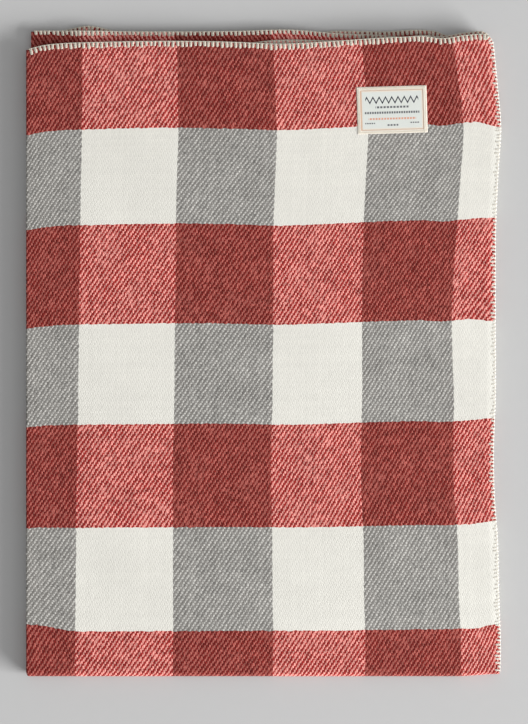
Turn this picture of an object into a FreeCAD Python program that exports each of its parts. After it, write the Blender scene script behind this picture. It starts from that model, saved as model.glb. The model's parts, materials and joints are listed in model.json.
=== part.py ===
import FreeCAD, Part
import os

# Camp blanket, folded in quarters and lying flat. Millimetres, +Z up.
# The origin is on the ground, under the middle of the folded stack. The side fold is at -X, the
# end fold is at -Y, the whip-stitched side hem is at +X and the whip-stitched end hem is at +Y.
# One woven cloth makes four quarters, named from the top of the stack down: front, second, third
# and back. The side fold joins front to second, and third to back. The end fold joins second to
# third on its inside, and front to back round its outside. Each fold strip is cut along its apex,
# so that every quarter carries its own half of each fold and the hinge line lies just outside.

# ---- driving dimensions ----
STACK_WIDTH = 660.0         # over the side fold and the side hem
STACK_LENGTH = 905.0        # over the end fold and the longest end hem
CLOTH_T = 3.0               # thickness of the brushed wool cloth
LAYER_PITCH = 4.0           # from one layer's middle to the next one's
FOLD_PINCH = 0.85           # how far a fold reaches out, as a share of half its height
APEX_GAP = 0.1              # each half of a fold stops this far from the fold's middle plane

END_HEM_WIDTH = 10.0        # depth of the stitches along the blanket's two ends
SIDE_HEM_WIDTH = 5.0        # depth of the stitches along the blanket's two sides
HEM_COVER = 0.7             # yarn over each face of the cloth, pressed level with the face
HEM_WRAP = 1.2              # yarn round the cloth's raw edge

UPPER_PAIR_SHORT_LEFT = 27.0    # front and second stop this short of third, at the side fold
UPPER_PAIR_SHORT_RIGHT = 2.0    # and this short of it at the side hem
LOWER_PAIR_SHORT_RIGHT = 5.0    # third and back lose this much from side fold to side hem

LABEL_WIDTH = 98.0
LABEL_HEIGHT = 66.0
LABEL_T = 0.6
LABEL_CENTRE = (182.5, 341.5)
LABEL_TURN = 1.7            # degrees, anticlockwise seen from above
THREAD_INSET = 1.6          # from the label's edge to its sewing thread
THREAD_WIDTH = 1.0
THREAD_T = 0.2

# ---- worked out from the driving dimensions ----
LAYERS = ("back", "third", "second", "front")       # from the ground up
STACK_TOP = CLOTH_T + (len(LAYERS) - 1) * LAYER_PITCH
STACK_MIDDLE = STACK_TOP / 2
INNER_FOLD_HALF = (LAYER_PITCH + CLOTH_T) / 2       # half the height of a two-layer fold
OUTER_FOLD_HALF = STACK_TOP / 2                     # half the height of the four-layer fold
LEFT = -STACK_WIDTH / 2 + FOLD_PINCH * INNER_FOLD_HALF
RIGHT = STACK_WIDTH / 2
BOTTOM = -STACK_LENGTH / 2 + FOLD_PINCH * OUTER_FOLD_HALF
TOP = STACK_LENGTH / 2
TOP_LEFT = {"back": TOP, "third": TOP, "second": TOP - UPPER_PAIR_SHORT_LEFT,
            "front": TOP - UPPER_PAIR_SHORT_LEFT}
TOP_RIGHT = {"back": TOP - LOWER_PAIR_SHORT_RIGHT, "third": TOP - LOWER_PAIR_SHORT_RIGHT,
             "second": TOP - UPPER_PAIR_SHORT_RIGHT, "front": TOP - UPPER_PAIR_SHORT_RIGHT}
BIG = 4 * STACK_LENGTH      # side of a cutting block, larger than the blanket


def vector(x, y, z):
    return FreeCAD.Vector(x, y, z)


def middle(layer):
    """Height of a layer's middle plane."""
    return CLOTH_T / 2 + LAYERS.index(layer) * LAYER_PITCH


def top_edge(layer, x, inset):
    """Y of the end hem's outer edge at x, moved in by inset."""
    share = (x - LEFT) / (RIGHT - LEFT)
    return TOP_LEFT[layer] + share * (TOP_RIGHT[layer] - TOP_LEFT[layer]) - inset


def slab(corners, z_middle, thickness):
    """Flat plate over a polygon, centred on a height."""
    low = z_middle - thickness / 2
    points = [vector(x, y, low) for x, y in corners]
    face = Part.Face(Part.makePolygon(points + points[:1]))
    return face.extrude(vector(0, 0, thickness))


def outline(layer, side_inset, end_inset):
    """A quarter's corners, moved in from its side hem and its end hem."""
    right = RIGHT - side_inset
    return [(LEFT, BOTTOM), (right, BOTTOM),
            (right, top_edge(layer, right, end_inset)), (LEFT, top_edge(layer, LEFT, end_inset))]


def tongue(layer):
    """The thin edge of the cloth that the hem yarn wraps."""
    return slab(outline(layer, HEM_WRAP, HEM_WRAP), middle(layer), CLOTH_T - 2 * HEM_COVER)


def quarter(layer):
    """Cloth of one quarter, full thickness up to its hems and thinned under them."""
    body = slab(outline(layer, SIDE_HEM_WIDTH, END_HEM_WIDTH), middle(layer), CLOTH_T)
    return body.fuse(tongue(layer)).removeSplitter()


def end_hem(layer):
    """Whip-stitch yarn round the quarter's end, as a channel over the cloth's thin edge."""
    corners = [(LEFT, top_edge(layer, LEFT, END_HEM_WIDTH)),
               (RIGHT, top_edge(layer, RIGHT, END_HEM_WIDTH)),
               (RIGHT, top_edge(layer, RIGHT, 0)), (LEFT, top_edge(layer, LEFT, 0))]
    return slab(corners, middle(layer), CLOTH_T).cut(tongue(layer))


def side_hem(layer):
    """Whip-stitch yarn down the quarter's side, from the end hem to the end fold."""
    left = RIGHT - SIDE_HEM_WIDTH
    corners = [(left, BOTTOM), (RIGHT, BOTTOM),
               (RIGHT, top_edge(layer, RIGHT, END_HEM_WIDTH)),
               (left, top_edge(layer, left, END_HEM_WIDTH))]
    return slab(corners, middle(layer), CLOTH_T).cut(tongue(layer))


def oval_bar(reach, half_height, length):
    """Elliptic cylinder along +X from the origin: reach along Y, half_height along Z."""
    ellipse = Part.Ellipse(vector(0, 0, half_height), vector(0, reach, 0), vector(0, 0, 0))
    face = Part.Face(Part.Wire([ellipse.toShape()]))
    return face.extrude(vector(length, 0, 0))


def fold_half(half_height, length, upper):
    """Half of a fold along +X: its cloth turns from horizontal at y = 0 to vertical at -Y."""
    outer = oval_bar(FOLD_PINCH * half_height, half_height, length)
    inner_height = half_height - CLOTH_T
    inner = oval_bar(FOLD_PINCH * inner_height, inner_height, length)
    low = APEX_GAP if upper else -BIG
    keep = Part.makeBox(length, BIG, BIG - APEX_GAP, vector(0, -BIG, low))
    return outer.cut(inner).common(keep)


def side_crease(layer):
    """A quarter's half of the side fold, which runs up the blanket's -X edge."""
    partner = {"back": "third", "third": "back", "second": "front", "front": "second"}[layer]
    centre = (middle(layer) + middle(partner)) / 2
    upper = middle(layer) > middle(partner)
    strip = fold_half(INNER_FOLD_HALF, TOP_LEFT[layer] - BOTTOM, upper)
    strip.rotate(vector(0, 0, 0), vector(0, 0, 1), -90)
    strip.translate(vector(LEFT, TOP_LEFT[layer], centre))
    return strip


def end_crease(layer):
    """A quarter's half of the end fold, which runs along the blanket's -Y edge."""
    inside = layer in ("second", "third")
    upper = layer in ("front", "second")
    strip = fold_half(INNER_FOLD_HALF if inside else OUTER_FOLD_HALF, RIGHT - LEFT, upper)
    strip.translate(vector(LEFT, BOTTOM, STACK_MIDDLE))
    return strip


def place_label(shape):
    """Turns a shape made round the origin and moves it to the label's place."""
    shape.rotate(vector(0, 0, 0), vector(0, 0, 1), LABEL_TURN)
    shape.translate(vector(LABEL_CENTRE[0], LABEL_CENTRE[1], 0))
    return shape


def rectangle(width, height):
    """Corners of a rectangle round the origin."""
    return [(-width / 2, -height / 2), (width / 2, -height / 2),
            (width / 2, height / 2), (-width / 2, height / 2)]


def label():
    """Woven label, sewn flat on the front quarter."""
    return place_label(slab(rectangle(LABEL_WIDTH, LABEL_HEIGHT), STACK_TOP + LABEL_T / 2, LABEL_T))


def label_thread():
    """Sewing thread round the label, lying on it."""
    height = STACK_TOP + LABEL_T + THREAD_T / 2
    inside = THREAD_INSET + THREAD_WIDTH
    outer = slab(rectangle(LABEL_WIDTH - 2 * THREAD_INSET, LABEL_HEIGHT - 2 * THREAD_INSET),
                 height, THREAD_T)
    inner = slab(rectangle(LABEL_WIDTH - 2 * inside, LABEL_HEIGHT - 2 * inside), height, THREAD_T)
    return place_label(outer.cut(inner))


def parts():
    """Every node and its shape."""
    made = {}
    for layer in LAYERS:
        made[layer + "_quarter"] = quarter(layer)
        made[layer + "_side_crease"] = side_crease(layer)
        made[layer + "_end_crease"] = end_crease(layer)
        made[layer + "_end_hem"] = end_hem(layer)
        made[layer + "_side_hem"] = side_hem(layer)
    made["label"] = label()
    made["label_thread"] = label_thread()
    return made


os.makedirs("parts", exist_ok=True)
for name, shape in parts().items():
    shape.exportStep(os.path.join("parts", name + ".step"))
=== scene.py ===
import json
import math
from collections import namedtuple

import bmesh
import bpy
import numpy as np
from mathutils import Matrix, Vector


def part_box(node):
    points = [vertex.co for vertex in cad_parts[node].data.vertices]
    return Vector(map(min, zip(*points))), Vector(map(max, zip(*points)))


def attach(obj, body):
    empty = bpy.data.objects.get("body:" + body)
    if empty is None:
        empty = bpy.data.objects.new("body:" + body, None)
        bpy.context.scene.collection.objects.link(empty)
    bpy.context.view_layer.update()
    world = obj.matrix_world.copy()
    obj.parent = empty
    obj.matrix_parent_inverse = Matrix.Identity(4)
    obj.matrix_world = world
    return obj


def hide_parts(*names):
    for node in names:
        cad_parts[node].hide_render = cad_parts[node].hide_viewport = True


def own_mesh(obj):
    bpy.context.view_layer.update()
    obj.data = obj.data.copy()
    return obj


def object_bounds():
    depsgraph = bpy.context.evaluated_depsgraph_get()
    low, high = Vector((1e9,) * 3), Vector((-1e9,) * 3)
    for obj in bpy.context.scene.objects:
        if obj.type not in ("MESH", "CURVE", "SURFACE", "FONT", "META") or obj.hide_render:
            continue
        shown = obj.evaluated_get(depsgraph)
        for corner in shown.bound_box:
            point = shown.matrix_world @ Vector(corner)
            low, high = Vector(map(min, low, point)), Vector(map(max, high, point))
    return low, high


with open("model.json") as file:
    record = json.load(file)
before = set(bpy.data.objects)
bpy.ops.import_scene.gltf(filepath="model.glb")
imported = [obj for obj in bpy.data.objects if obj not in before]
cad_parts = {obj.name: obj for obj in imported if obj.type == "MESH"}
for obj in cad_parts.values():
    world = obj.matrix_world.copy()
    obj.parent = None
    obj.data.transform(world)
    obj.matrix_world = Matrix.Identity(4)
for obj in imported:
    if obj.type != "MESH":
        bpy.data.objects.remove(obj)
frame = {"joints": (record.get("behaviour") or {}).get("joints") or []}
cad_low, cad_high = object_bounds()

# A camp blanket folded in quarters. Everything is in metres; MM turns millimetres into metres.
# Each quarter is its own closed sheet of cloth, and each fold is two halves, one on each of the
# quarters that it joins, which meet at the fold's hinge line. All cloth carries one pair of blanket
# coordinates, u across and v along, measured from the blanket's middle, so that the check and the
# twill run on from quarter to quarter.
MM = 0.001

# ---- the folded stack, from the frame ----
LAYERS = ("back", "third", "second", "front")       # from the ground up
BOX = {layer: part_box(layer + "_quarter") for layer in LAYERS}
MIDDLE = {layer: (BOX[layer][0].z + BOX[layer][1].z) / 2 for layer in LAYERS}
CLOTH_HALF = (BOX["front"][1].z - BOX["front"][0].z) / 2
STACK_MIDDLE = (MIDDLE["back"] + MIDDLE["front"]) / 2
LEFT = BOX["front"][0].x            # where the quarters end and the side fold starts
BOTTOM = BOX["front"][0].y          # where the quarters end and the end fold starts
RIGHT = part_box("front_side_hem")[1].x
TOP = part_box("third_end_hem")[1].y
HINGE = {joint["name"]: joint["pos_m"] for joint in frame["joints"]}
LABEL_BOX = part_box("label")
LABEL_WIDTH = 98 * MM
LABEL_HEIGHT = 66 * MM
LABEL_TURN = math.radians(1.7)
LABEL_CENTRE = ((LABEL_BOX[0].x + LABEL_BOX[1].x) / 2, (LABEL_BOX[0].y + LABEL_BOX[1].y) / 2)
LABEL_T = 0.5 * MM
SIDE_REACH = LEFT - HINGE["side_fold_front"][0]     # from the quarters to the side fold's hinge line
END_REACH = BOTTOM - HINGE["end_fold"][1]           # and to the end fold's

# ---- how the cloth lies ----
# Distances in millimetres: along the hem from the side fold, then in from the stack's far edge.
END_HEM_LINE = {
    "front": [(0, 27), (20, 22), (48, 19), (90, 17.5), (300, 17.5), (345, 19.5), (426, 16),
              (482, 12), (524, 10), (552, 9), (580, 12), (608, 8), (640, 5.5), (660, 6)],
    "second": [(0, 29), (60, 22), (290, 21), (335, 15), (440, 14.5), (482, 14), (524, 11),
               (552, 7), (580, 9), (608, 4), (640, 1.2), (660, 3)],
    "third": [(0, 0), (300, 0.3), (363, -1.4), (440, 4.2), (486, 6), (524, 9), (552, 11),
              (580, 13), (608, 8), (640, 5), (660, 6)],
    "back": [(0, 3), (42, 1), (58, -3), (84, -7.2), (108, -3), (124, 1.5), (145, 3), (400, 2.5), (425, 0.2),
             (503, 0.7), (552, -1.4), (573, 0.7), (586, 5.5), (600, 5), (622, 2.8), (640, 6), (660, 6)],
}
# Distances up from the end fold, then in from the stack's side edge.
SIDE_HEM_LINE = [(0, -3), (38, -3.6), (108, -1.5), (192, 0.6), (248, 4.8), (310, 6), (388, 3.4),
                 (490, 3.4), (632, 2.7), (710, -0.8), (768, -4.2), (829, 0.6), (885, 6)]
SIDE_TUCK = {"back": 3.5, "third": 2.0, "second": 3.0, "front": 0.0}    # mm inside the front's hem
CORNER_RADIUS = 15 * MM
FOLD_DRAW_IN = 6 * MM           # the lower pair's side fold is drawn in at its hem end
FOLD_DRAW_START = 48 * MM       # from this far below the top edge
FOLD_DRAW_END = 20 * MM         # and fully from this far below it
# Long ripples of air under the cloth: radians a metre across, radians a metre along, where they start.
RIPPLES = [(21, 9, 0.6), (-12, 17, 2.1), (37, 33, 4.0)]
WAVE_HEIGHT = 0.5 * MM
WAVE_SHARE = {"back": 0.0, "third": 0.35, "second": 0.7, "front": 1.0}
WAVE_MARGIN = 70 * MM           # waves fade out this close to a fold
WAVE_AT_HEM = 0.6               # share of the waves left at the hems
LABEL_CALM = 60 * MM            # no waves this close to the label's middle, all of them at twice this
HEM_DEPTH = 12 * MM             # the cloth thins over this depth towards its hem
HEM_THIN = 0.72                 # share of the cloth's thickness left under the stitches
HEM_LIFT = 0.5 * MM             # room for the yarn under the lowest hem
HEM_LIFT_SHARE = {"back": 1.0, "third": 0.67, "second": 0.33, "front": 0.0}
GAPE = 2.0 * MM                 # the third quarter's hem stands this far off the back quarter's
GAPE_FROM = 40 * MM             # where it does so, from the side fold
GAPE_TO = 130 * MM
GAPE_RAMP = 30 * MM
GAPE_TOP = 16 * MM              # it starts this far below the top edge
GAPE_RISE = 14 * MM             # and is full after this much

# ---- the folds ----
FOLD_INNER = 0.5 * MM           # half the gap between two quarters that meet at a fold
FOLD_PINCH = 0.85               # how far a fold reaches out, as a share of half its height
FOLD_STEPS = 9                  # points round half a fold
APEX_GAP = 0.05 * MM            # from a side fold half's cut to the hinge line's height
SIDE_FOLD_ROUND = 0.5           # 1 for an oval side fold, less for one pressed squarer
INNER_FOLD_REACH = 6.0 * MM     # the inner end fold's outside, just within the outer one's inside
OUTER_FOLD_INSIDE = 6.05 * MM
END_FOLD_TAPER = 0.5            # share of its reach that the end fold loses towards the side hem
END_FOLD_TAPER_START = 4 * CORNER_RADIUS
FACE_SIDE = {"back": -1, "third": 1, "second": -1, "front": 1}      # +1 where the good face is up
PAIR = {"back": "back", "third": "back", "second": "front", "front": "front"}
INNER_LAYERS = ("second", "third")      # the end fold joins these two on its inside

# ---- the hem yarn ----
Yarn = namedtuple("Yarn", "length uneven width half_thickness pitch cord")
HEM_YARN = {        # a stitch's mean length, its unevenness, the yarn's size, and the edge cord's radius
    "end": Yarn(length=8.4 * MM, uneven=0.35, width=4.1 * MM, half_thickness=0.40 * MM,
                pitch=6.2 * MM, cord=0.9 * MM),
    "side": Yarn(length=6.6 * MM, uneven=1.0, width=2.8 * MM, half_thickness=0.10 * MM,
                 pitch=5.2 * MM, cord=0.45 * MM),
}
STITCH_SHARE = {"back": 0.75, "third": 0.7, "second": 0.85, "front": 1.0}   # of the end stitches' length
STITCH_STEPS = 13               # points along a stitch
STITCH_NOSE = 1.2 * MM          # how far the yarn goes out past the raw edge
STITCH_JITTER = 0.16            # unevenness of the stitches' places, as a share of their pitch
STITCH_SLANT = 0.12             # lean of the stitches, as a share of their pitch
STITCH_SLANT_SPREAD = 0.3
STITCH_WIDTH_SPREAD = 0.2
HEM_SEED = {"end": 11, "side": 41}
HEM_SAMPLES = 1500              # points along a hem
CORD_LIFT = 0.45 * MM
CORD_INSET = 0.8                # the cord's middle is this many radii in from the raw edge
CORD_BEAD = 0.18                # how much the cord swells at each stitch

# ---- the weave, in blanket coordinates ----
WARP_PITCH = 2.10 * MM
WEFT_PITCH = 3.22 * MM
GREY_COLUMN = 135 * MM
WHITE_COLUMN = 131 * MM
CHECK_ROW = 141.5 * MM
HALF_WIDTH = 657 * MM           # blanket's middle to its side hem
HALF_LENGTH = 897 * MM          # blanket's middle to its end hem
FOLD_V = 7.8 * MM               # the end fold is off the middle by this much
FOLD_V_LEAN = 4.0 * MM
FOLD_U_BOTTOM = 2 * MM          # and the side fold by this much at the end fold
FOLD_U_TOP = {"back": 0.0, "third": 0.0, "second": -11 * MM, "front": -11 * MM}
# The check isn't pulled evenly: shares of the way to the hem, then millimetres towards it.
PULL_ACROSS = [(0, 0), (0.11, 2.4), (0.31, 5.4), (0.52, 9.5), (0.71, 6.5), (0.92, 3), (1, 0)]
PULL_ALONG = [(0, 0), (0.07, 0.6), (0.237, 4.4), (0.4, 7.6), (0.556, 6.6), (0.71, 4.6), (0.866, -3),
              (1, 0)]
# Shares of the way up from the end fold, then millimetres off the line, at the side hem or side fold.
SWAY_AT_HEM = [(0, 2.8), (0.07, 1.3), (0.24, 0), (0.4, -1.9), (0.556, -6), (0.715, 1.5), (0.866, 4),
               (1, -1.5)]
DROP_AT_HEM = [(0, 8), (0.07, 6.4), (0.24, 3.5), (0.4, 2), (0.556, -4.5), (0.715, 0), (0.866, -7.8),
               (1, 0)]
LIFT_AT_FOLD = [(0, 0), (0.07, 9.8), (0.2, 3), (0.4, 0), (1, 0)]
# How far these reach, as shares of a quarter.
SWAY_START = 0.62
SWAY_RAMP = 0.3
SWAY_FADE = 0.07                # the sway is gone again at the hem itself
DROP_START = 0.94
DROP_RAMP = 0.06
DROP_FADE = 1 / 14              # both drop and lift fade out this close to the end fold
LIFT_REACH = 0.12
# The check's lines wander a little, in a slow ripple and a fast one that leans: radians over a
# quarter and start of the slow one, then radians, lean and start of the fast one.
WANDER = 0.3 * MM
WANDER_ACROSS = (9, 0.5, 23, 5, 1.2)
WANDER_ALONG = (8, 1.5, 19, 6, 0.4)
WANDER_FAST_SHARE = 0.7
WANDER_FADE = (1 / 6, 1 / 8)    # no wander at the side fold and the end fold, all of it after these shares
# Each half of the outer end fold goes a quarter of an oval round the stack, and the cloth that this
# takes on top of the fold's reach comes from the back quarter.
OUTER_FOLD_HEIGHT = MIDDLE["front"] + CLOTH_HALF - STACK_MIDDLE
END_FOLD_CLOTH = math.pi / 2 * math.hypot(END_REACH, OUTER_FOLD_HEIGHT) / math.sqrt(2)
END_FOLD_TAKE = 2 * (END_FOLD_CLOTH - END_REACH)
END_FOLD_TAKE_SPREAD = 66 * MM


# ---- small helpers ----
def smooth(x):
    """0 below 0, 1 above 1 and an easy curve between."""
    x = np.clip(x, 0, 1)
    return x * x * (3 - 2 * x)


def curve(points, x):
    """A smooth line through a few (x, y) points, level beyond its ends."""
    xs, ys = np.array(points, float).T
    slopes = np.gradient(ys, xs)
    x = np.clip(x, xs[0], xs[-1])
    k = np.clip(np.searchsorted(xs, x, side="right") - 1, 0, len(xs) - 2)
    width = xs[k + 1] - xs[k]
    t = (x - xs[k]) / width
    rise = t * t * (3 - 2 * t)
    leave = t * (1 - t) ** 2 * width * slopes[k]
    arrive = t * t * (t - 1) * width * slopes[k + 1]
    return ys[k] + rise * (ys[k + 1] - ys[k]) + leave + arrive


def spaced(length, fine, coarse, edge):
    """Shares from 0 to 1 along a length: fine steps within edge of each end, coarse between."""
    ends = np.arange(0, edge, fine)
    steps = max(2, int(round((length - 2 * edge) / coarse)))
    inner = np.linspace(edge, length - edge, steps + 1)
    return np.concatenate([ends, inner, length - ends[::-1]]) / length


def unit(vectors):
    return vectors / np.linalg.norm(vectors, axis=-1, keepdims=True)


class Sewing:
    """Collects faces with their blanket coordinates and material slot, then makes one object."""

    def __init__(self):
        self.points, self.coords, self.faces, self.slots, self.sharp = [], [], [], [], []
        self.count = 0

    def add(self, points, coords, faces, slot, sharp=None):
        points = np.asarray(points, float).reshape(-1, 3)
        self.points.append(points)
        self.coords.append(np.asarray(coords, float).reshape(-1, 2))
        self.faces += [tuple(int(i) + self.count for i in face) for face in faces]
        self.slots += [slot] * len(faces)
        self.sharp.append(np.zeros(len(points), bool) if sharp is None else sharp)
        self.count += len(points)

    def make(self, name, materials):
        mesh = bpy.data.meshes.new(name)
        mesh.from_pydata(np.concatenate(self.points).tolist(), [], self.faces)
        coords = np.concatenate(self.coords)
        uv = mesh.uv_layers.new(name="cloth")
        owner = np.zeros(len(mesh.loops), int)
        mesh.loops.foreach_get("vertex_index", owner)
        uv.data.foreach_set("uv", coords[owner].ravel())
        for material in materials:
            mesh.materials.append(material)
        mesh.polygons.foreach_set("material_index", np.array(self.slots, np.int32))
        mesh.polygons.foreach_set("use_smooth", np.ones(len(mesh.polygons), bool))
        sharp = np.concatenate(self.sharp)
        ends = np.zeros(len(mesh.edges) * 2, int)
        mesh.edges.foreach_get("vertices", ends)
        on_border = sharp[ends.reshape(-1, 2)].all(1)
        mesh.attributes.new("sharp_edge", "BOOLEAN", "EDGE").data.foreach_set("value", on_border)
        work = bmesh.new()
        work.from_mesh(mesh)
        bmesh.ops.recalc_face_normals(work, faces=work.faces)
        work.to_mesh(mesh)
        work.free()
        piece = bpy.data.objects.new(name, mesh)
        bpy.context.scene.collection.objects.link(piece)
        return piece


def sheet(sewing, first, second, coords, first_slot, second_slot):
    """Closed cloth between two surfaces given on the same grid, each with its own side's weave."""
    rows, columns = first.shape[:2]
    size = rows * columns
    index = np.arange(size).reshape(rows, columns)
    quads = np.stack([index[:-1, :-1], index[1:, :-1], index[1:, 1:], index[:-1, 1:]], -1).reshape(-1, 4)
    ring = np.concatenate([index[0, :-1], index[:-1, -1], index[-1, :0:-1], index[:0:-1, 0]])
    after = np.roll(ring, -1)
    rim = np.stack([ring, after, after + size, ring + size], -1)
    border = np.zeros(2 * size, bool)
    border[ring] = True
    border[ring + size] = True
    points = np.concatenate([first.reshape(-1, 3), second.reshape(-1, 3)])
    both = np.concatenate([coords.reshape(-1, 2)] * 2)
    start = sewing.count
    sewing.add(points, both, quads, first_slot, border)
    sewing.faces += [tuple(int(i) + start + size for i in quad[::-1]) for quad in quads]
    sewing.slots += [second_slot] * len(quads)
    sewing.faces += [tuple(int(i) + start for i in quad) for quad in rim]
    sewing.slots += [first_slot] * len(rim)


def tubes(sewing, paths, across, half_across, half_normal, around=8):
    """Yarns along many paths of shape (yarns, steps, 3), flattened: across is their wide way."""
    yarns, steps = paths.shape[:2]
    along = unit(np.gradient(paths, axis=1))
    normal = unit(np.cross(along, across))
    wide = unit(np.cross(normal, along))
    turn = np.linspace(0, 2 * np.pi, around, endpoint=False)
    ring = (paths[:, :, None] + wide[:, :, None] * (half_across[..., None] * np.cos(turn))[..., None]
            + normal[:, :, None] * (half_normal[..., None] * np.sin(turn))[..., None])
    lengths = np.cumsum(np.linalg.norm(np.diff(paths, axis=1, prepend=paths[:, :1]), axis=-1), axis=1)
    coords = np.stack(np.broadcast_arrays(lengths[..., None], (turn / (2 * np.pi))[None, None]), -1)
    index = np.arange(yarns * steps * around).reshape(yarns, steps, around)
    turned = np.roll(index, -1, axis=2)
    quads = np.stack([index[:, :-1], turned[:, :-1], turned[:, 1:], index[:, 1:]], -1).reshape(-1, 4)
    caps = [tuple(row[::-1]) for row in index[:, 0]] + [tuple(row) for row in index[:, -1]]
    sewing.add(ring, coords, [tuple(quad) for quad in quads] + caps, 0)


# ---- where the cloth lies ----
def fold_x(layer, y):
    """X of the quarter's edge at the side fold."""
    if layer in ("front", "second"):
        return LEFT + 0 * y
    return LEFT + FOLD_DRAW_IN * smooth((y - (TOP - FOLD_DRAW_START)) / (FOLD_DRAW_START - FOLD_DRAW_END))


def side_hem_x(layer, y):
    return RIGHT - (curve(SIDE_HEM_LINE, (y - BOTTOM) / MM) + SIDE_TUCK[layer]) * MM


def end_hem_y(layer, x):
    return TOP - curve(END_HEM_LINE[layer], (x - LEFT) / MM) * MM


def lay(layer, s, t):
    """Plan position of a quarter: s from the side fold to its hem, t from the end fold to its hem."""
    level_y = BOTTOM + t * (TOP - BOTTOM)
    start = fold_x(layer, level_y)
    x = start + s * (side_hem_x(layer, level_y) - start)
    y = BOTTOM + t * (end_hem_y(layer, x) - BOTTOM)
    near_side = np.clip(1 - (1 - s) * (RIGHT - LEFT) / CORNER_RADIUS, 0, 1)
    near_end = np.clip(1 - (1 - t) * (TOP - BOTTOM) / CORNER_RADIUS, 0, 1)
    x = x - near_side * (1 - np.sqrt(1 - near_end ** 2 / 2)) * CORNER_RADIUS
    y = y - near_end * (1 - np.sqrt(1 - near_side ** 2 / 2)) * CORNER_RADIUS
    return x, y


def hem_distance(s, t):
    """How far in from the nearer hem."""
    return np.minimum((1 - s) * (RIGHT - LEFT), (1 - t) * (TOP - BOTTOM))


def wave(x, y):
    """Gentle height of air under the cloth, never below 0."""
    swell = sum(np.sin(x * across + y * along + start) for across, along, start in RIPPLES) / len(RIPPLES)
    inside = smooth((x - LEFT) / WAVE_MARGIN) * smooth((y - BOTTOM) / WAVE_MARGIN)
    to_hem = np.minimum(RIGHT - x, TOP - y)
    calm = WAVE_AT_HEM + (1 - WAVE_AT_HEM) * smooth(to_hem / WAVE_MARGIN)
    off_label = np.hypot(x - LABEL_CENTRE[0], y - LABEL_CENTRE[1])
    return WAVE_HEIGHT * (1 + swell) * inside * calm * smooth(off_label / LABEL_CALM - 1)


def gape(layer, x, y):
    """Lifts the third quarter's hem off the back quarter's where the two come apart."""
    if layer != "third":
        return 0 * x
    along = smooth((x - LEFT - GAPE_FROM) / GAPE_RAMP) * smooth((LEFT + GAPE_TO - x) / GAPE_RAMP)
    return GAPE * along * smooth((y - (TOP - GAPE_TOP)) / GAPE_RISE)


def middle_z(layer, s, t):
    """Height of a quarter's middle surface."""
    x, y = lay(layer, s, t)
    hem = HEM_LIFT * HEM_LIFT_SHARE[layer] * (1 - smooth(hem_distance(s, t) / HEM_DEPTH))
    return MIDDLE[layer] + WAVE_SHARE[layer] * wave(x, y) + hem + gape(layer, x, y)


def cloth_half(distance):
    """Half the cloth's thickness at a distance in from its hem, less under the hem stitches."""
    return CLOTH_HALF * (HEM_THIN + (1 - HEM_THIN) * smooth(distance / HEM_DEPTH))


def wander(ripples, run, cross):
    """How the check's lines stray, within -1.7 to 1.7; run and cross are shares along and across them."""
    slow, slow_start, fast, lean, fast_start = ripples
    fast_part = np.sin(fast * run + lean * cross + fast_start) * WANDER_FAST_SHARE
    return np.sin(slow * run + slow_start) + fast_part


def blanket_coords(layer, s, t):
    """Blanket coordinates u and v of a point of a quarter."""
    side = 1 if layer in ("front", "back") else -1
    end = 1 if layer in ("front", "second") else -1
    width = RIGHT - LEFT + SIDE_REACH
    length = TOP - BOTTOM + END_REACH
    s = (s * (width - SIDE_REACH) + SIDE_REACH) / width
    t = (t * (length - END_REACH) + END_REACH) / length
    fold_u = FOLD_U_BOTTOM + t * (FOLD_U_TOP[layer] - FOLD_U_BOTTOM)
    fold_v = FOLD_V - FOLD_V_LEAN * np.clip(s, 0, 1) ** 2
    u = fold_u + s * (side * HALF_WIDTH - fold_u)
    v = fold_v + t * (end * HALF_LENGTH - fold_v)
    sway = (curve(SWAY_AT_HEM, t) * smooth((s - SWAY_START) / SWAY_RAMP)
            * np.clip((1 - s) / SWAY_FADE, 0, 1))
    drop = (curve(DROP_AT_HEM, t) * smooth((s - DROP_START) / DROP_RAMP)
            + curve(LIFT_AT_FOLD, t) * smooth(1 - s / LIFT_REACH)) * smooth(t / DROP_FADE)
    stray = WANDER * smooth(s / WANDER_FADE[0]) * smooth(t / WANDER_FADE[1])
    u = u - side * (curve(PULL_ACROSS, s) + sway) * MM + stray * wander(WANDER_ACROSS, t, s)
    v = v - end * (curve(PULL_ALONG, t) + drop) * MM + stray * wander(WANDER_ALONG, s, t)
    if layer == "back":
        v = v - END_FOLD_TAKE * smooth(1 - t * length / END_FOLD_TAKE_SPREAD)
    return np.stack([u, v], -1)


# ---- cloth pieces ----
FACE, REVERSE = 0, 1            # material slots of every cloth piece
GRID_FINE = 2 * MM              # distance between a quarter's points near its edges
GRID_COARSE = {"front": 5 * MM, "second": 9 * MM, "third": 9 * MM, "back": 9 * MM}
GRID_EDGE = (20 * MM, 24 * MM)  # how far the fine ones reach in, across and along


def quarter(layer):
    """One quarter of the cloth, flat between its folds and hems."""
    across = spaced(RIGHT - LEFT, GRID_FINE, GRID_COARSE[layer], GRID_EDGE[0])
    along = spaced(TOP - BOTTOM, GRID_FINE, GRID_COARSE[layer], GRID_EDGE[1])
    s, t = np.meshgrid(across, along)
    x, y = lay(layer, s, t)
    z, half = middle_z(layer, s, t), cloth_half(hem_distance(s, t))
    upper, lower = (FACE, REVERSE) if layer in ("front", "third") else (REVERSE, FACE)
    sewing = Sewing()
    sheet(sewing, np.stack([x, y, z + half], -1), np.stack([x, y, z - half], -1),
          blanket_coords(layer, s, t), upper, lower)
    return sewing.make(layer + "_cloth", CLOTH_MATERIALS)


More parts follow.
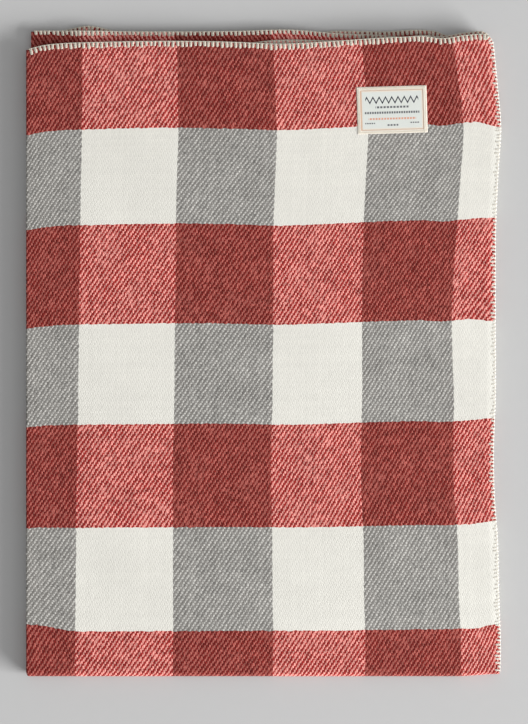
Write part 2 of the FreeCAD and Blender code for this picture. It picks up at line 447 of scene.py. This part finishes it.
def stitches(sewing, origin, along, inward, yarn, share_of_length, random):
    """Whip stitches: each loop of yarn goes from one face round the raw edge to the other face."""
    count = len(origin)
    walk = np.linspace(-1, 1, STITCH_STEPS)[None, :]    # from under the cloth, round its edge, to over it
    share = np.abs(walk)
    depth = yarn.length * share_of_length * (1 + yarn.uneven * (random.random((count, 1)) - 0.5))
    reach = -STITCH_NOSE + (depth + STITCH_NOSE) * share ** 1.5
    lift = np.sin(np.clip(share / 0.35, 0, 1) * np.pi / 2) - 0.75 * smooth((share - 0.8) / 0.2)
    height = np.sign(walk) * (cloth_half(reach) + 0.2 * yarn.half_thickness) * lift
    lean = STITCH_SLANT_SPREAD * (random.random((count, 1)) - 0.5) * share + STITCH_SLANT * walk
    path = (origin[:, None] + inward[:, None] * reach[..., None]
            + along[:, None] * (yarn.pitch * lean)[..., None])
    path[..., 2] += height
    spread = 1 + STITCH_WIDTH_SPREAD * (random.random((count, 1)) - 0.5)
    half_width = yarn.width / 2 * spread * (0.72 + 0.28 * np.sin(np.pi * share))
    thin = 1 - 0.35 * smooth((share - 0.75) / 0.25)     # a stitch's ends sink into the cloth
    half_high = np.full((count, STITCH_STEPS), yarn.half_thickness) * thin
    tubes(sewing, path, np.broadcast_to(along[:, None], path.shape), half_width, half_high)


def hem_path(layer, which):
    """Points along a hem with their directions: along the hem and in towards the cloth."""
    share = np.linspace(0, 1, HEM_SAMPLES)
    one = np.ones_like(share)
    s, t = (share, one) if which == "end" else (one, share)
    x, y = lay(layer, s, t)
    points = np.stack([x, y, middle_z(layer, s, t)], -1)
    along = unit(np.gradient(points, axis=0))
    up = np.array([0.0, 0.0, 1.0])
    inward = unit(np.cross(up, along)) * (-1 if which == "end" else 1)
    return points, along, inward


def hem(layer, which):
    """A hem's run of whip stitches and the cord they make along the raw edge."""
    points, along, inward = hem_path(layer, which)
    yarn = HEM_YARN[which]
    random = np.random.default_rng(HEM_SEED[which] + LAYERS.index(layer))
    run = np.concatenate([[0], np.cumsum(np.linalg.norm(np.diff(points, axis=0), axis=1))])
    count = int(run[-1] / yarn.pitch)
    pitch = run[-1] / count
    place = (np.arange(count) + 0.5 + STITCH_JITTER * (random.random(count) - 0.5)) * pitch
    origin, way, inside = (np.stack([np.interp(place, run, row) for row in rows.T], -1)
                           for rows in (points, along, inward))
    sewing = Sewing()
    share_of_length = STITCH_SHARE[layer] if which == "end" else 1.0
    stitches(sewing, origin, unit(way), unit(inside), yarn, share_of_length, random)
    raised = np.array([0.0, 0.0, CORD_LIFT if which == "end" else 0.0])
    path = (points - inward * yarn.cord * CORD_INSET + raised)[None, ::2]
    radius = yarn.cord * (1 + CORD_BEAD * np.cos(2 * np.pi * run[::2] / pitch + np.pi))[None]
    tubes(sewing, path, np.broadcast_to(inward[None, ::2], path.shape), radius, radius)
    return sewing.make(f"{layer}_{which}_stitches", [YARN_MATERIALS[which]])


def side_fold_half(layer):
    """A quarter's half of its side fold, from the quarter's edge round to the hinge line."""
    t, turn = np.meshgrid(spaced(TOP - BOTTOM, 3 * MM, 9 * MM, 66 * MM),
                          np.linspace(0, np.pi / 2, FOLD_STEPS))
    edge, y = lay(layer, 0 * t, t)
    middle, half = middle_z(layer, 0 * t, t), cloth_half(hem_distance(0 * t, t))
    face, reverse = middle + FACE_SIDE[layer] * half, middle - FACE_SIDE[layer] * half
    hinge = HINGE["side_fold_" + PAIR[layer]][2]
    hinge += math.copysign(APEX_GAP, MIDDLE[layer] - hinge)
    outward = np.sin(turn) ** SIDE_FOLD_ROUND
    height = np.clip(np.cos(turn), 0, 1) ** SIDE_FOLD_ROUND
    outer, inner = (np.stack([edge - reach * outward, y, hinge + (z - hinge) * height], -1)
                    for z, reach in ((face, SIDE_REACH), (reverse, FOLD_INNER * FOLD_PINCH)))
    coords = blanket_coords(layer, -outward * SIDE_REACH / (RIGHT - LEFT), t)
    sewing = Sewing()
    sheet(sewing, inner, outer, coords, REVERSE, FACE)
    return sewing.make(layer + "_side_fold", CLOTH_MATERIALS)


def end_fold_half(layer):
    """A quarter's half of the end fold, rounded off at the blanket's corner."""
    inside = layer in INNER_LAYERS
    hinge = HINGE["side_fold_" + PAIR[layer]][2]
    spare = SIDE_REACH / (RIGHT - LEFT)     # the fold reaches this much past s = 0, over the side fold
    over_side_fold = -spare * np.cos(np.linspace(0, np.pi / 2, 8)[:-1])
    s = np.concatenate([over_side_fold, spaced(RIGHT - LEFT, 2 * MM, 6 * MM, 20 * MM)])
    s, turn = np.meshgrid(s, np.linspace(0, np.pi / 2, FOLD_STEPS))
    corner = np.clip(-s / spare, 0, 1)
    shrink = np.sqrt(1 - corner ** 2)
    taper = END_FOLD_TAPER * smooth(1 - (1 - s) * (RIGHT - LEFT) / END_FOLD_TAPER_START)
    x = np.where(s < 0, LEFT + s * (RIGHT - LEFT), lay(layer, np.maximum(s, 0), 0 * s)[0])
    face = MIDDLE[layer] + FACE_SIDE[layer] * CLOTH_HALF
    reverse = MIDDLE[layer] - FACE_SIDE[layer] * CLOTH_HALF
    face_z = hinge + (face - hinge) * shrink
    reverse_z = reverse + (hinge - reverse) * smooth(corner / 0.2)
    face_reach, reverse_reach = (FOLD_INNER, INNER_FOLD_REACH) if inside else (END_REACH, OUTER_FOLD_INSIDE)
    good_side, reverse_side = (np.stack([x, BOTTOM - reach * shrink * (1 - taper) * np.sin(turn),
                                         STACK_MIDDLE + (z - STACK_MIDDLE) * np.cos(turn)], -1)
                               for z, reach in ((face_z, face_reach), (reverse_z, reverse_reach)))
    cloth = END_REACH * np.sin(turn) if inside else END_FOLD_CLOTH * turn / (np.pi / 2)
    coords = blanket_coords(layer, s, -cloth / (TOP - BOTTOM))
    sewing = Sewing()
    if inside:
        sheet(sewing, good_side, reverse_side, coords, FACE, REVERSE)
    else:
        sheet(sewing, reverse_side, good_side, coords, REVERSE, FACE)
    return sewing.make(layer + "_end_fold", CLOTH_MATERIALS)


# ---- materials ----
class Signal:
    """A node's output that can be used in sums like a number."""

    def __init__(self, graph, socket):
        self.graph, self.socket = graph, socket

    def __add__(self, other):
        return self.graph.math("ADD", self, other)

    def __sub__(self, other):
        return self.graph.math("SUBTRACT", self, other)

    def __rsub__(self, other):
        return self.graph.math("SUBTRACT", other, self)

    def __mul__(self, other):
        return self.graph.math("MULTIPLY", self, other)

    def __truediv__(self, other):
        return self.graph.math("DIVIDE", self, other)


class Graph:
    """A material's node graph, written as formulas."""

    def __init__(self, name):
        self.material = bpy.data.materials.new(name)
        self.material.use_nodes = True
        self.tree = self.material.node_tree
        self.tree.nodes.clear()

    def node(self, kind, **settings):
        made = self.tree.nodes.new(kind)
        for key, value in settings.items():
            setattr(made, key, value)
        return made

    def plug(self, value, socket):
        if isinstance(value, Signal):
            self.tree.links.new(value.socket, socket)
        else:
            socket.default_value = value

    def math(self, operation, *values):
        made = self.node("ShaderNodeMath", operation=operation)
        for value, socket in zip(values, made.inputs):
            self.plug(value, socket)
        return Signal(self, made.outputs[0])

    def step(self, value, low, high, start=0.0, end=1.0):
        """Rises smoothly from start to end as value goes from low to high."""
        made = self.node("ShaderNodeMapRange", interpolation_type="SMOOTHSTEP")
        for socket, number in zip(made.inputs, (value, low, high, start, end)):
            self.plug(number, socket)
        return Signal(self, made.outputs[0])

    def mix(self, share, first, second):
        made = self.node("ShaderNodeMix", data_type="RGBA")
        self.plug(share, made.inputs[0])
        self.plug(first, made.inputs[6])
        self.plug(second, made.inputs[7])
        return Signal(self, made.outputs[2])

    def coords(self):
        """Blanket coordinates u and v, in metres."""
        uv = self.node("ShaderNodeUVMap", uv_map="cloth")
        split = self.node("ShaderNodeSeparateXYZ")
        self.tree.links.new(uv.outputs[0], split.inputs[0])
        return Signal(self, split.outputs[0]), Signal(self, split.outputs[1])

    def vector(self, x, y, z=0.0):
        made = self.node("ShaderNodeCombineXYZ")
        for value, socket in zip((x, y, z), made.inputs):
            self.plug(value, socket)
        return Signal(self, made.outputs[0])

    def noise(self, vector, rate, amount=1.0, detail=2.0):
        """Noise of this many swells a metre, from about -amount to amount."""
        made = self.node("ShaderNodeTexNoise")
        self.plug(vector, made.inputs["Vector"])
        made.inputs["Scale"].default_value = rate
        made.inputs["Detail"].default_value = detail
        return (Signal(self, made.outputs[0]) - 0.5) * 2.0 * amount

    def per_yarn(self, number):
        """A fixed random number from -1 to 1 for each whole number."""
        made = self.node("ShaderNodeTexWhiteNoise", noise_dimensions="1D")
        self.plug(number, made.inputs["W"])
        return (Signal(self, made.outputs[0]) - 0.5) * 2.0

    def per_float(self, first, second):
        """A fixed random number from -1 to 1 for each pair of whole numbers."""
        made = self.node("ShaderNodeTexWhiteNoise", noise_dimensions="2D")
        self.plug(self.vector(first, second), made.inputs["Vector"])
        return (Signal(self, made.outputs[0]) - 0.5) * 2.0

    def wave(self, value, length):
        """A sine of this wavelength."""
        return self.math("SINE", value * (2 * math.pi / length))

    def shade(self, color, factor):
        """The color made lighter or darker by a factor near 1."""
        made = self.node("ShaderNodeVectorMath", operation="SCALE")
        self.plug(color if isinstance(color, Signal) else color[:3], made.inputs[0])
        self.plug(factor, made.inputs[3])
        return Signal(self, made.outputs[0])

    def finish(self, color, roughness, height=None, bump=0.0, sheen=0.0, sheen_color=(1, 1, 1, 1),
               specular=0.1):
        surface = self.node("ShaderNodeBsdfPrincipled")
        output = self.node("ShaderNodeOutputMaterial")
        self.plug(color, surface.inputs["Base Color"])
        self.plug(roughness, surface.inputs["Roughness"])
        surface.inputs["Specular IOR Level"].default_value = specular
        surface.inputs["Sheen Weight"].default_value = sheen
        surface.inputs["Sheen Roughness"].default_value = 0.6
        surface.inputs["Sheen Tint"].default_value = sheen_color
        if height is not None:
            relief = self.node("ShaderNodeBump")
            relief.inputs["Distance"].default_value = bump
            self.plug(height, relief.inputs["Height"])
            self.tree.links.new(relief.outputs[0], surface.inputs["Normal"])
        self.tree.links.new(surface.outputs[0], output.inputs[0])
        return self.material


def paint(red, green, blue):
    """A colour given as it looks on screen, 0 to 255, as the linear values that nodes use."""
    return (*(((c / 255 + 0.055) / 1.055) ** 2.4 for c in (red, green, blue)), 1.0)


# How each pair of yarns looks, fibres of both mixed: where the warp is over, where the weft is over.
CREAM_ON_CREAM = (paint(223, 221, 213), paint(219, 217, 209))
GREY_ON_CREAM = (paint(128, 125, 121), paint(181, 179, 174))
CREAM_ON_RED = (paint(225, 149, 140), paint(154, 40, 37))
GREY_ON_RED = (paint(166, 90, 82), paint(116, 29, 25))
TWILL = 3.0                     # yarns in one repeat of the twill
TWILL_START = 2.0               # where in the repeat it starts, at the blanket's middle
WARP_ROUND = 0.5                # how far a yarn falls off from its middle to its sides
WEFT_ROUND = 0.7
WEAVE_RELIEF = 0.085 * MM
# Each unevenness is a noise: swells a metre, how strong it is, and its finer layers where not 2.
WARP_STRAY = (170.0, 0.7)       # in yarns
WEFT_STRAY = (150.0, 0.6)
FIBRE = (800.0,)
BRUSH_SLOW = (24.0, 1.3, 3.0)   # where brushing leaves more of the warp or of the weft to be seen
BRUSH_FAST = (90.0, 1.1)
BLOTCH = (90.0, 0.30, 3.0)
PATCH = (22.0, 1.0, 3.0)
OVER_FIBRE = 1.1                # how fibres and uneven yarns fray the line between warp and weft
OVER_FLOAT = 0.65
TONE_FIBRE = 0.6                # and how much they change the tone
TONE_FLOAT = 0.24
RELIEF_FIBRE = 0.4
GAP_HEIGHT = (-0.2, 0.8)        # the weave's relief, from between the yarns to their tops
# Shares of the tone, first on plain cream cloth, then where there is a dyed yarn.
# The next two are painted shade between the yarns and painted light on the yarns' tops, set by the weave's
# relief.
GAP_SHADE = (0.965, 0.615)
YARN_TOP_LIGHT = (1.005, 1.075)
WARP_STREAK = (0.015, 0.045)
WEFT_STREAK = (0.012, 0.022)
BLOTCH_TONE = (0.06, 0.96)
PATCH_TONE = (0.05, 0.18)


def wool(name, reverse):
    """Brushed three-end twill: warp columns grey and cream, weft rows red and cream."""
    g = Graph(name)
    u, v = g.coords()
    v = g.math("ABSOLUTE", v)                   # the weave is mirrored about the blanket's middle
    place = g.vector(u, v)
    warp = u / WARP_PITCH + g.noise(place, *WARP_STRAY)
    weft = v / WEFT_PITCH + g.noise(g.vector(v, u), *WEFT_STRAY)
    warp_number, weft_number = g.math("FLOOR", warp), g.math("FLOOR", weft)
    float_tone = g.per_float(warp_number, weft_number)
    fibre = g.noise(place, *FIBRE)

    # each warp yarn rises over every third weft yarn, one further up in each next warp yarn
    along_warp = g.math("FLOORED_MODULO", weft - warp_number - TWILL_START, TWILL) - 0.5
    along_weft = g.math("FLOORED_MODULO", warp - weft_number + TWILL_START, TWILL) - 0.5
    warp_side = g.math("FRACT", warp) * 2.0 - 1.0
    weft_side = g.math("FRACT", weft) * 2.0 - 1.0
    side_up = -1.0 if reverse else 1.0          # the yarn that is under on one side is over on the other
    warp_rise = g.math("COSINE", along_warp * (2 * math.pi / TWILL)) * side_up
    weft_rise = g.math("COSINE", along_weft * (2 * math.pi / TWILL)) * -side_up
    warp_high = warp_rise - warp_side * warp_side * WARP_ROUND
    weft_high = weft_rise - weft_side * weft_side * WEFT_ROUND
    height = g.math("MAXIMUM", warp_high, weft_high)
    brushed = g.noise(place, *BRUSH_SLOW) + g.noise(place, *BRUSH_FAST)
    over = g.step(warp_high - weft_high + fibre * OVER_FIBRE + float_tone * OVER_FLOAT + brushed, -0.5, 0.5)

    column = g.math("FLOORED_MODULO",
                    g.math("ABSOLUTE", (warp_number + 0.5) * WARP_PITCH) + GREY_COLUMN / 2,
                    GREY_COLUMN + WHITE_COLUMN)
    row = g.math("FLOORED_MODULO", (weft_number + 0.5) * WEFT_PITCH + CHECK_ROW / 2, 2 * CHECK_ROW)
    grey, red = g.math("LESS_THAN", column, GREY_COLUMN), g.math("LESS_THAN", row, CHECK_ROW)
    warp_color, weft_color = (
        g.mix(red, g.mix(grey, on_cream, grey_on_cream), g.mix(grey, on_red, grey_on_red))
        for on_cream, grey_on_cream, on_red, grey_on_red
        in zip(CREAM_ON_CREAM, GREY_ON_CREAM, CREAM_ON_RED, GREY_ON_RED))
    color = g.mix(over, weft_color, warp_color)

    dyed = g.math("MAXIMUM", grey, red)

    def share(tone):
        plain_share, dyed_share = tone
        return dyed * (dyed_share - plain_share) + plain_share

    # painted shade between the yarns and painted light on their tops, from the weave's relief
    relief_shade = g.step(height, *GAP_HEIGHT, share(GAP_SHADE), share(YARN_TOP_LIGHT))
    streak = (g.per_yarn(warp_number) * share(WARP_STREAK)
              + g.per_yarn(weft_number + 7.5) * share(WEFT_STREAK))     # not the warp's numbers again
    blotch = g.noise(place, *BLOTCH) + fibre * TONE_FIBRE + float_tone * TONE_FLOAT
    patch = g.noise(place, *PATCH) * share(PATCH_TONE) + 1.0
    color = g.shade(color, relief_shade * patch * (streak + blotch * share(BLOTCH_TONE) + 1.0))
    return g.finish(color, roughness=0.95, height=height + fibre * RELIEF_FIBRE, bump=WEAVE_RELIEF,
                    sheen=0.07, sheen_color=(1, 0.95, 0.9, 1), specular=0.05)


# One cream yarn on every hem, painted darker on the end hems and lighter on the side hems for how the light
# falls on each: painted shade and painted light.
EDGE_CREAM_AS_LIT = {"end": paint(192, 185, 171), "side": paint(209, 204, 193)}
PLY_TWIST = 2.6 * MM            # length of one turn of the two plies


def edge_yarn(which):
    """Thick cream yarn, two plies twisted together."""
    g = Graph(f"{which}_edge_yarn")
    along, round_way = g.coords()
    ply = g.math("SINE", along * (2 * math.pi / PLY_TWIST) + round_way * (2 * math.pi * 2))
    fibre = g.noise(g.vector(along, round_way * 0.004), 700.0)
    # The plies' twist also darkens the colour in the grooves between them, painted shade; the fibre noise
    # is the yarn's own tone.
    color = g.shade(EDGE_CREAM_AS_LIT[which], ply * 0.07 + fibre * 0.30 + 0.98)
    return g.finish(color, roughness=0.9, height=ply * 0.6 + fibre * 0.6, bump=0.12 * MM, sheen=0.15)


CLOTH_MATERIALS = [wool("wool_face", False), wool("wool_reverse", True)]
YARN_MATERIALS = {which: edge_yarn(which) for which in ("end", "side")}


# ---- the label ----
LABEL_LIFT = 0.02 * MM          # the label's underside above the cloth
LABEL_EDGE_T = 0.15 * MM        # its thickness at the very edge
LABEL_EDGE = 1.0 * MM           # and how far in it reaches its full thickness
LABEL_HEM = 4.5 * MM            # its left and right ends are turned under by this much
LABEL_HEM_T = 0.2 * MM
LABEL_HEM_RAMP = 1.2 * MM
SEAM_INSET = 2.1 * MM
SEAM_PULL = 0.35                # share of the thickness that the sewing presses down
SEAM_SPREAD = 0.8 * MM
SEAM_PITCH = 2.9 * MM
SEAM_STITCH = (0.14, 0.86)      # where a stitch starts and ends, as shares of the pitch
SEAM_ARCH = 0.16 * MM           # how far a stitch rises in its middle
SEAM_HALF = 0.25 * MM           # half the thread's thickness
SEAM_STEPS = 7                  # points along a stitch


def cloth_top(x, y):
    """Height of the front quarter's upper face."""
    return MIDDLE["front"] + CLOTH_HALF + WAVE_SHARE["front"] * wave(x, y)


def label_point(across, along, above):
    """A place on the label, measured from its middle, at a height above the cloth."""
    x = LABEL_CENTRE[0] + across * math.cos(LABEL_TURN) - along * math.sin(LABEL_TURN)
    y = LABEL_CENTRE[1] + across * math.sin(LABEL_TURN) + along * math.cos(LABEL_TURN)
    return np.stack([x, y, cloth_top(x, y) + above], -1)


def label():
    """Woven label with its left and right ends turned under."""
    share = spaced(LABEL_WIDTH, 0.7 * MM, 2 * MM, 7 * MM)
    rise = spaced(LABEL_HEIGHT, 0.7 * MM, 2 * MM, 4 * MM)
    s, t = np.meshgrid(share - 0.5, rise - 0.5)
    across, along = s * LABEL_WIDTH, t * LABEL_HEIGHT
    to_end = LABEL_WIDTH / 2 - np.abs(across)
    to_edge = np.minimum(to_end, LABEL_HEIGHT / 2 - np.abs(along))
    full = LABEL_T + LABEL_HEM_T * (1 - smooth((to_end - LABEL_HEM) / LABEL_HEM_RAMP))
    pull = 1 - SEAM_PULL * np.exp(-((to_edge - SEAM_INSET) / SEAM_SPREAD) ** 2)
    above = (LABEL_EDGE_T + (full - LABEL_EDGE_T) * smooth(to_edge / LABEL_EDGE)) * pull
    sewing = Sewing()
    sheet(sewing, label_point(across, along, above), label_point(across, along, LABEL_LIFT + 0 * above),
          np.stack([across, along], -1), 0, 0)
    return sewing.make("label_woven", [label_material()])


def label_thread():
    """Running stitches round the label."""
    half_w, half_h = LABEL_WIDTH / 2 - SEAM_INSET, LABEL_HEIGHT / 2 - SEAM_INSET
    corners = np.array([(-half_w, -half_h), (half_w, -half_h), (half_w, half_h), (-half_w, half_h)])
    arch = SEAM_ARCH * np.sin(np.linspace(0, np.pi, SEAM_STEPS)) + LABEL_T * 0.75
    paths = []
    for first, second in zip(corners, np.roll(corners, -1, axis=0)):
        count = int(np.linalg.norm(second - first) / SEAM_PITCH)
        for k in range(count):
            share = (k + np.linspace(*SEAM_STITCH, SEAM_STEPS)) / count
            flat = first + (second - first) * share[:, None]
            paths.append(label_point(flat[:, 0], flat[:, 1], arch))
    paths = np.array(paths)
    up = np.broadcast_to([0.0, 0.0, 1.0], paths.shape)
    across = unit(np.cross(up, np.gradient(paths, axis=1)))
    size = np.full(paths.shape[:2], SEAM_HALF)
    sewing = Sewing()
    tubes(sewing, paths, across, size, size, 6)
    return sewing.make("label_sewing", [thread_material()])


LABEL_CREAM = paint(224, 217, 204)
LABEL_FIELD = paint(216, 219, 214)
TAN = paint(196, 158, 134)
ORANGE = paint(214, 140, 104)
INK = paint(44, 46, 58)
FIELD_INSET = (7.4 * MM, 7.8 * MM)      # the pale field starts between these distances from the edge
FRAME = (5.4 * MM, 0.5 * MM)            # the thin frame's distance from the edge and its half width
END_BAR = (-43.2 * MM, 1.0 * MM)        # a short bar at the left end, its half width
END_BAR_HALF = 27 * MM                  # and half length
PEAKS = (9.8 * MM, 1.5 * MM)            # the zigzag's height on the label and half its thickness
PEAKS_HALF = 37 * MM                    # half its length
PEAK_WIDTH = 4.4 * MM                   # from a peak to the next hollow
PEAK_SLOPE = 1.9
Dashes = namedtuple("Dashes", "height half start limit dash color")
DASH_ROWS = [       # height, half thickness, from start out to limit on both sides, half pitch, in mm
    Dashes(4.0, 1.3, 0, 23, 2.3, INK),
    Dashes(-3.6, 1.4, 0, 38, 1.7, INK),
    Dashes(-12.2, 1.2, 0, 33, 2.0, ORANGE),
    Dashes(-18.3, 0.8, 24, 38, 1.6, INK),
    Dashes(-21.2, 1.1, 0, 8, 2.1, INK),
]
FAR_LEFT = 100 * MM                     # past the label's left end, where the dashes are counted from
PEAKS_FROM = 101.2 * MM


def label_material():
    """Fine woven label: cream margin, thin orange frame, pale field and plain woven marks."""
    g = Graph("label_weave")
    x, y = g.coords()
    to_end = LABEL_WIDTH / 2 - g.math("ABSOLUTE", x)
    to_side = LABEL_HEIGHT / 2 - g.math("ABSOLUTE", y)
    to_edge = g.math("MINIMUM", to_end, to_side)

    def band(value, middle, half):
        return g.step(g.math("ABSOLUTE", value - middle), half - 0.1 * MM, half + 0.3 * MM, 1.0, 0.0)

    def within(value, limit):
        return g.step(g.math("ABSOLUTE", value), limit, limit + 0.4 * MM, 1.0, 0.0)

    color = g.mix(g.step(to_edge, *FIELD_INSET), LABEL_CREAM, LABEL_FIELD)
    color = g.mix(band(to_edge, *FRAME) * 0.75, color, TAN)
    color = g.mix(band(x, *END_BAR) * within(y, END_BAR_HALF) * 0.7, color, TAN)
    peaks = g.math("PINGPONG", x + PEAKS_FROM, PEAK_WIDTH) * PEAK_SLOPE
    color = g.mix(band(y - peaks, *PEAKS) * within(x, PEAKS_HALF), color, INK)
    for row in DASH_ROWS:
        dash = row.dash * MM
        gate = g.step(g.math("PINGPONG", x + FAR_LEFT, dash), 0.2 * dash, 0.4 * dash)
        if row.start:
            gate = gate * g.step(g.math("ABSOLUTE", x), row.start * MM, row.start * MM + 0.4 * MM)
        mark = band(y, row.height * MM, row.half * MM) * within(x, row.limit * MM) * gate * 0.85
        color = g.mix(mark, color, row.color)
    weave = g.wave(x, 0.5 * MM) * g.wave(y, 0.6 * MM)
    # The weave's relief also lightens and darkens the colour a little: painted light and shade; the noise
    # is the label's own tone.
    color = g.shade(color, weave * 0.03 + g.noise(g.vector(x, y), 500.0, 0.04) + 1.0)
    return g.finish(color, roughness=0.9, height=weave, bump=0.03 * MM, sheen=0.05)


def thread_material():
    """Fine cream sewing thread."""
    g = Graph("label_thread")
    along, round_way = g.coords()
    twist = g.math("SINE", along * (2 * math.pi / (0.6 * MM)) + round_way * (2 * math.pi))
    # The twist also darkens the thread's colour in its grooves: painted shade.
    color = g.shade(paint(222, 212, 190), twist * 0.08 + 1.0)
    return g.finish(color, roughness=0.6, height=twist, bump=0.04 * MM)


# ---- floor, light and camera ----
FLOOR_COLOR = paint(189, 189, 189)
FLOOR_HALF = 12.0
FLOOR_DROP = 0.3 * MM           # the floor is this far under the lowest cloth
KEY_PLACE = (14.4, -6.9, 3.75)
KEY_SIZE = (11.5, 3.7)
KEY_POWER = 7050
NEAR_PLACE = (2.4, -0.6, 1.5)
NEAR_SIZE = (1.5, 1.5)
NEAR_POWER = 13
SKY_STRENGTH = 0.475
VIEW_HEIGHT = 1.0136            # metres of floor from the picture's bottom to its top
VIEW_SHIFT = (3.2 * MM, -11.6 * MM)
LENS = 100.0
SENSOR = 36.0
FAR_CLIP = 50.0


def floor_material():
    """Pale paper with a faint grain."""
    g = Graph("floor_paper")
    coordinates = g.node("ShaderNodeTexCoord")
    grain = g.noise(Signal(g, coordinates.outputs["Object"]), 60.0, 0.01)
    return g.finish(g.shade(FLOOR_COLOR, grain + 1.0), roughness=0.95, specular=0.0)


def floor():
    """A wide flat floor, just under the cloth."""
    mesh = bpy.data.meshes.new("floor")
    edge = FLOOR_HALF
    corners = [(-edge, -edge, 0), (edge, -edge, 0), (edge, edge, 0), (-edge, edge, 0)]
    mesh.from_pydata(corners, [], [(0, 1, 2, 3)])
    mesh.materials.append(floor_material())
    thing = bpy.data.objects.new("floor", mesh)
    thing.location.z = -FLOOR_DROP
    bpy.context.scene.collection.objects.link(thing)


def light(name, place, size, power):
    """A soft white light aimed at the middle of the blanket."""
    data = bpy.data.lights.new(name, "AREA")
    data.shape = "RECTANGLE"
    data.size, data.size_y = size
    data.energy = power
    thing = bpy.data.objects.new(name, data)
    thing.location = place
    thing.rotation_mode = "QUATERNION"
    thing.rotation_quaternion = (-Vector(place)).to_track_quat("-Z", "Y")
    thing.visible_camera = False
    bpy.context.scene.collection.objects.link(thing)


def sky():
    """Even white light from all round."""
    world = bpy.data.worlds.new("studio")
    world.use_nodes = True
    background = world.node_tree.nodes["Background"]
    background.inputs[0].default_value = (1, 1, 1, 1)
    background.inputs[1].default_value = SKY_STRENGTH
    bpy.context.scene.world = world


def camera():
    """Looks straight down on the blanket."""
    thing = bpy.data.objects.new("camera", bpy.data.cameras.new("camera"))
    thing.data.lens, thing.data.sensor_width = LENS, SENSOR
    thing.data.clip_end = FAR_CLIP
    thing.location = (*VIEW_SHIFT, cad_high.z + VIEW_HEIGHT * LENS / SENSOR)
    bpy.context.scene.collection.objects.link(thing)
    bpy.context.scene.camera = thing


# ---- assembly ----
def dress(piece, body, node):
    """Hides the CAD node that a piece stands for and hangs the piece on the body that it rides on."""
    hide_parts(node)
    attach(piece, body)
    return piece


for layer in LAYERS:
    dress(quarter(layer), layer, layer + "_quarter")
    for which in ("end", "side"):
        dress(hem(layer, which), layer, f"{layer}_{which}_hem")
    end_half = dress(end_fold_half(layer), layer, layer + "_end_crease")
    side_half = dress(side_fold_half(layer), layer, layer + "_side_crease")
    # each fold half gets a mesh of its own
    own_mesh(end_half)
    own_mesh(side_half)

dress(label(), "front", "label")
dress(label_thread(), "front", "label_thread")

floor()
light("key", KEY_PLACE, KEY_SIZE, KEY_POWER)
light("near_side", NEAR_PLACE, NEAR_SIZE, NEAR_POWER)
sky()
camera()
bpy.context.scene.view_settings.view_transform = "Standard"
